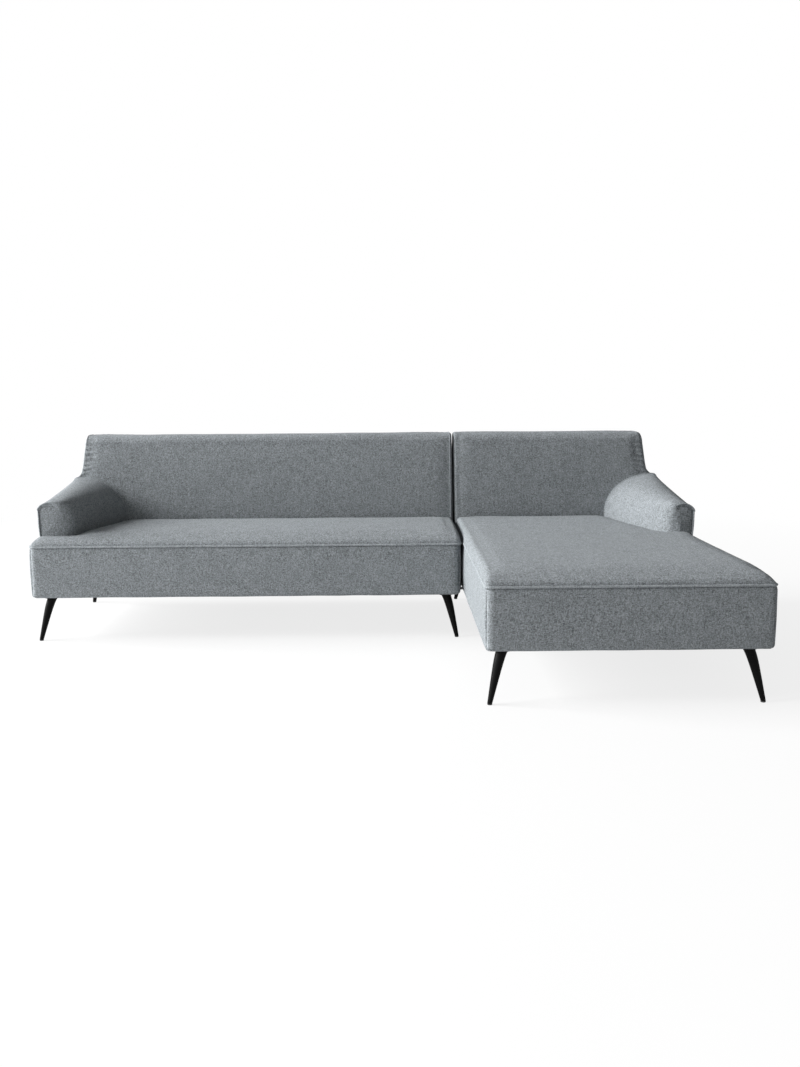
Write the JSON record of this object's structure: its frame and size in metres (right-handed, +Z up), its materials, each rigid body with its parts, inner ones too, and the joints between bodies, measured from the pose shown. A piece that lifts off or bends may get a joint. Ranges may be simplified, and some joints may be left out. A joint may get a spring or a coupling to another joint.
{
  "type": "corner sofa",
  "caption": "Low upholstered corner sofa: a bench-seat unit and a chaise unit side by side, with sculpted low arms and splayed black metal legs.",
  "frame": {"origin": "on the floor, under the middle of the whole sofa's outer box", "axes": "+X along the backs from the sofa unit to the chaise unit, -Y out of the fronts, +Z up"},
  "size_m": [2.734, 1.71, 0.828],
  "materials": {
    "fabric": "blue-grey melange woven upholstery fabric, matt",
    "timber": "sawn pine, unfinished",
    "plywood": "birch plywood, unfinished",
    "foam": "cut polyurethane foam",
    "webbing": "woven elastic upholstery webbing",
    "dust_cloth": "black non-woven dust cloth",
    "black_steel": "satin black powder coat",
    "black_plastic": "moulded black glide",
    "zinc_steel": "zinc plated bracket"
  },
  "bodies": {
    "sofa_unit": {"sofa_front_rail": "timber", "sofa_rear_rail": "timber", "sofa_left_rail": "timber", "sofa_right_rail": "timber", "sofa_middle_rail": "timber", "sofa_seat_webbing": "webbing", "sofa_seat_foam": "foam", "sofa_seat_pad": "fabric", "sofa_front_border": "fabric", "sofa_left_border": "fabric", "sofa_right_border": "fabric", "sofa_dust_cover": "dust_cloth", "sofa_left_post": "timber", "sofa_right_post": "timber", "sofa_top_rail": "timber", "sofa_back_pad": "fabric", "sofa_outside_back": "fabric", "sofa_arm_board": "plywood", "sofa_arm_pad": "fabric", "sofa_front_left_leg": "black_steel", "sofa_front_right_leg": "black_steel", "sofa_rear_left_leg": "black_steel", "sofa_rear_right_leg": "black_steel", "sofa_front_left_glide": "black_plastic", "sofa_front_right_glide": "black_plastic", "sofa_rear_left_glide": "black_plastic", "sofa_rear_right_glide": "black_plastic", "sofa_front_socket_strap": "zinc_steel", "sofa_rear_socket_strap": "zinc_steel"},
    "chaise_unit": {"chaise_front_rail": "timber", "chaise_rear_rail": "timber", "chaise_left_rail": "timber", "chaise_right_rail": "timber", "chaise_middle_rail": "timber", "chaise_seat_webbing": "webbing", "chaise_seat_foam": "foam", "chaise_seat_pad": "fabric", "chaise_front_border": "fabric", "chaise_left_border": "fabric", "chaise_right_border": "fabric", "chaise_dust_cover": "dust_cloth", "chaise_left_post": "timber", "chaise_right_post": "timber", "chaise_top_rail": "timber", "chaise_back_pad": "fabric", "chaise_outside_back": "fabric", "chaise_arm_board": "plywood", "chaise_arm_pad": "fabric", "chaise_front_left_leg": "black_steel", "chaise_front_right_leg": "black_steel", "chaise_rear_left_leg": "black_steel", "chaise_rear_right_leg": "black_steel", "chaise_front_left_glide": "black_plastic", "chaise_front_right_glide": "black_plastic", "chaise_rear_left_glide": "black_plastic", "chaise_rear_right_glide": "black_plastic", "chaise_front_locating_pin": "zinc_steel", "chaise_rear_locating_pin": "zinc_steel"}
  },
  "joints": [
    {"name": "chaise_lift", "type": "slide", "parent": "sofa_unit", "child": "chaise_unit", "axis": [0, 0, 1], "range_m": [0, 0.03]}
  ]
}
